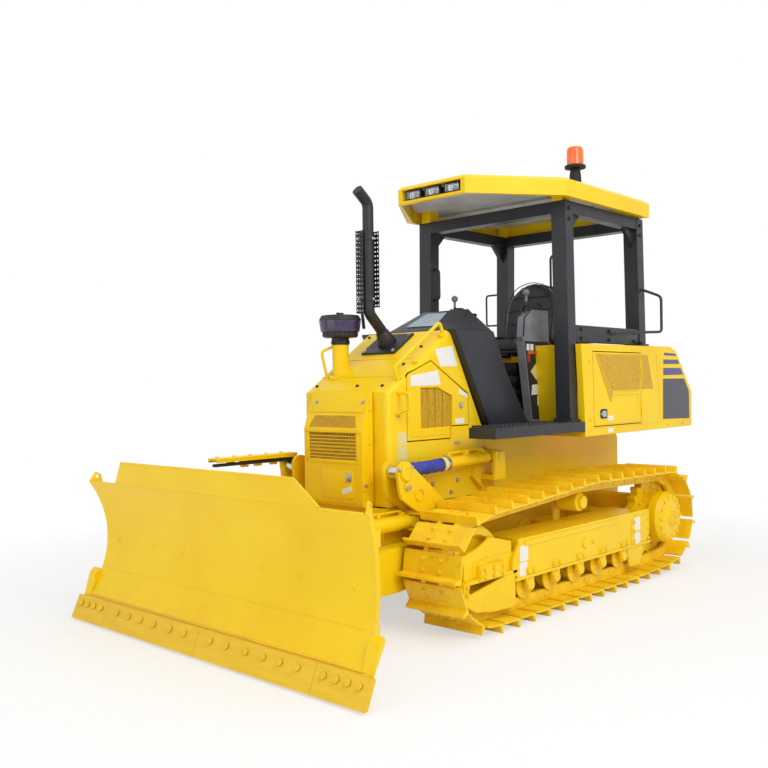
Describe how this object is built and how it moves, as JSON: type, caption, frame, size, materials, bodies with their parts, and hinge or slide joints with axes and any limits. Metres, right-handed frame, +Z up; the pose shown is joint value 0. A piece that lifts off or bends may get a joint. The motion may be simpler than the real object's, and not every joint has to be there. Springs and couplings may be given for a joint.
{
  "type": "crawler bulldozer",
  "caption": "Small crawler bulldozer with an open canopy, a power-angle-tilt blade on a C-frame, and two steel tracks with single-grouser shoes.",
  "frame": {"origin": "on the ground, below the middle of the machine's box with the blade lowered to rest", "axes": "+X forwards, +Y to the machine's left, +Z up"},
  "size_m": [4.248, 2.422, 2.9453],
  "materials": {
    "yellow_paint": "gloss enamel",
    "charcoal_paint": "satin enamel",
    "black_paint": "satin enamel",
    "engine_grey": "painted casting",
    "rod_chrome": "hard chrome",
    "blue_boot": "matt sleeve",
    "grey_plastic": "moulded",
    "black_plastic": "moulded",
    "seat_vinyl": "vinyl over foam",
    "amber_plastic": "clear amber",
    "lamp_glass": "clear lens"
  },
  "bodies": {
    "root": {"beacon": "amber_plastic", "consoles": "grey_plastic", "cowl": "black_paint", "engine_block": "engine_grey", "exhaust_stack": "black_paint", "final_drives": "yellow_paint", "floor_deck": "yellow_paint", "handrails": "yellow_paint", "hood": "yellow_paint", "idlers": "yellow_paint", "main_frame": "yellow_paint", "precleaner": "black_plastic", "radiator": "black_paint", "rear_body": "yellow_paint", "roof_canopy": "yellow_paint", "roof_lamps": "lamp_glass", "rops_frame": "charcoal_paint", "seat": "seat_vinyl", "track_frames": "yellow_paint", "track_left": "yellow_paint", "track_right": "yellow_paint", "track_rollers": "yellow_paint"},
    "c_frame": {"c_frame": "yellow_paint", "hose_guard": "yellow_paint"},
    "blade_carrier": {"blade_carrier": "yellow_paint"},
    "blade": {"blade": "yellow_paint", "cutting_edge": "yellow_paint"},
    "tilt_barrel": {"tilt_barrel": "yellow_paint"},
    "tilt_rod": {"tilt_rod": "rod_chrome"},
    "front_mask": {"front_mask": "yellow_paint"},
    "lift_barrel_left": {"lift_barrel_left": "yellow_paint"},
    "lift_rod_left": {"lift_rod_left": "rod_chrome", "lift_boot_left": "blue_boot"},
    "angle_barrel_left": {"angle_barrel_left": "yellow_paint"},
    "angle_rod_left": {"angle_rod_left": "rod_chrome"},
    "engine_door_left": {"engine_door_left": "yellow_paint"},
    "locker_door_left": {"locker_door_left": "yellow_paint"},
    "lift_barrel_right": {"lift_barrel_right": "yellow_paint"},
    "lift_rod_right": {"lift_rod_right": "rod_chrome", "lift_boot_right": "blue_boot"},
    "angle_barrel_right": {"angle_barrel_right": "yellow_paint"},
    "angle_rod_right": {"angle_rod_right": "rod_chrome"},
    "engine_door_right": {"engine_door_right": "yellow_paint"},
    "locker_door_right": {"locker_door_right": "yellow_paint"}
  },
  "joints": [
    {"name": "blade_lift", "type": "hinge", "parent": "root", "child": "c_frame", "pos_m": [-0.06, 0, 0.43], "axis": [0, 1, 0], "range_deg": [-22, 12]},
    {"name": "blade_angle", "type": "hinge", "parent": "c_frame", "child": "blade_carrier", "pos_m": [1.76, 0, 0.33], "axis": [0, 0, 1], "range_deg": [-25, 25]},
    {"name": "blade_tilt", "type": "hinge", "parent": "blade_carrier", "child": "blade", "pos_m": [1.82, 0, 0.33], "axis": [1, 0, 0], "range_deg": [-8, 8]},
    {"name": "lift_barrel_left_turn", "type": "hinge", "parent": "root", "child": "lift_barrel_left", "pos_m": [0.176, 0.432, 0.904], "axis": [0, 1, 0], "range_deg": [-30.19, 16.56]},
    {"name": "lift_rod_left_slide", "type": "slide", "parent": "lift_barrel_left", "child": "lift_rod_left", "axis": [0.9993, 0, -0.0387], "range_m": [-0.1653, 0.0906]},
    {"name": "angle_barrel_left_turn", "type": "hinge", "parent": "c_frame", "child": "angle_barrel_left", "pos_m": [0.93, 0.428, 0.59], "axis": [0, 0, 1], "range_deg": [-1.22, 1.22]},
    {"name": "angle_rod_left_slide", "type": "slide", "parent": "angle_barrel_left", "child": "angle_rod_left", "axis": [0.9999, 0.0152, 0], "range_m": [-0.1861, 0.1861]},
    {"name": "lift_barrel_right_turn", "type": "hinge", "parent": "root", "child": "lift_barrel_right", "pos_m": [0.176, -0.432, 0.904], "axis": [0, 1, 0], "range_deg": [-30.19, 16.56]},
    {"name": "lift_rod_right_slide", "type": "slide", "parent": "lift_barrel_right", "child": "lift_rod_right", "axis": [0.9993, 0, -0.0387], "range_m": [-0.1653, 0.0906]},
    {"name": "angle_barrel_right_turn", "type": "hinge", "parent": "c_frame", "child": "angle_barrel_right", "pos_m": [0.93, -0.428, 0.59], "axis": [0, 0, 1], "range_deg": [-1.22, 1.22]},
    {"name": "angle_rod_right_slide", "type": "slide", "parent": "angle_barrel_right", "child": "angle_rod_right", "axis": [0.9999, -0.0152, 0], "range_m": [-0.1861, 0.1861]},
    {"name": "tilt_barrel_turn", "type": "hinge", "parent": "blade_carrier", "child": "tilt_barrel", "pos_m": [1.8, 0.04, 0.76], "axis": [1, 0, 0], "range_deg": [-7.76, 7.76]},
    {"name": "tilt_rod_slide", "type": "slide", "parent": "tilt_barrel", "child": "tilt_rod", "axis": [0, -1, 0], "range_m": [-0.0609, 0.0609]},
    {"name": "engine_door_left_open", "type": "hinge", "parent": "root", "child": "engine_door_left", "pos_m": [0.877, 0.3573, 1.24], "axis": [0, 0, -1], "range_deg": [0, 80]},
    {"name": "engine_door_right_open", "type": "hinge", "parent": "root", "child": "engine_door_right", "pos_m": [0.877, -0.3573, 1.24], "axis": [0, 0, 1], "range_deg": [0, 80]},
    {"name": "front_mask_open", "type": "hinge", "parent": "root", "child": "front_mask", "pos_m": [1.065, 0.2453, 1], "axis": [0, 0, 1], "range_deg": [0, 85]},
    {"name": "locker_door_left_open", "type": "hinge", "parent": "root", "child": "locker_door_left", "pos_m": [-1.283, 0.7053, 1.31], "axis": [0, 0, 1], "range_deg": [0, 90]},
    {"name": "locker_door_right_open", "type": "hinge", "parent": "root", "child": "locker_door_right", "pos_m": [-1.283, -0.7053, 1.31], "axis": [0, 0, -1], "range_deg": [0, 90]}
  ],
  "couplings": [
    {"joint": "lift_barrel_left_turn", "follows": "blade_lift", "ratio": 1.3632},
    {"joint": "lift_rod_left_slide", "follows": "blade_lift", "m_per_rad": 0.428},
    {"joint": "angle_barrel_left_turn", "follows": "blade_angle", "ratio": -0.0407},
    {"joint": "angle_rod_left_slide", "follows": "blade_angle", "m_per_rad": -0.4243},
    {"joint": "lift_barrel_right_turn", "follows": "blade_lift", "ratio": 1.3632},
    {"joint": "lift_rod_right_slide", "follows": "blade_lift", "m_per_rad": 0.428},
    {"joint": "angle_barrel_right_turn", "follows": "blade_angle", "ratio": -0.0407},
    {"joint": "angle_rod_right_slide", "follows": "blade_angle", "m_per_rad": 0.4243},
    {"joint": "tilt_barrel_turn", "follows": "blade_tilt", "ratio": 0.9448},
    {"joint": "tilt_rod_slide", "follows": "blade_tilt", "m_per_rad": 0.4288}
  ]
}
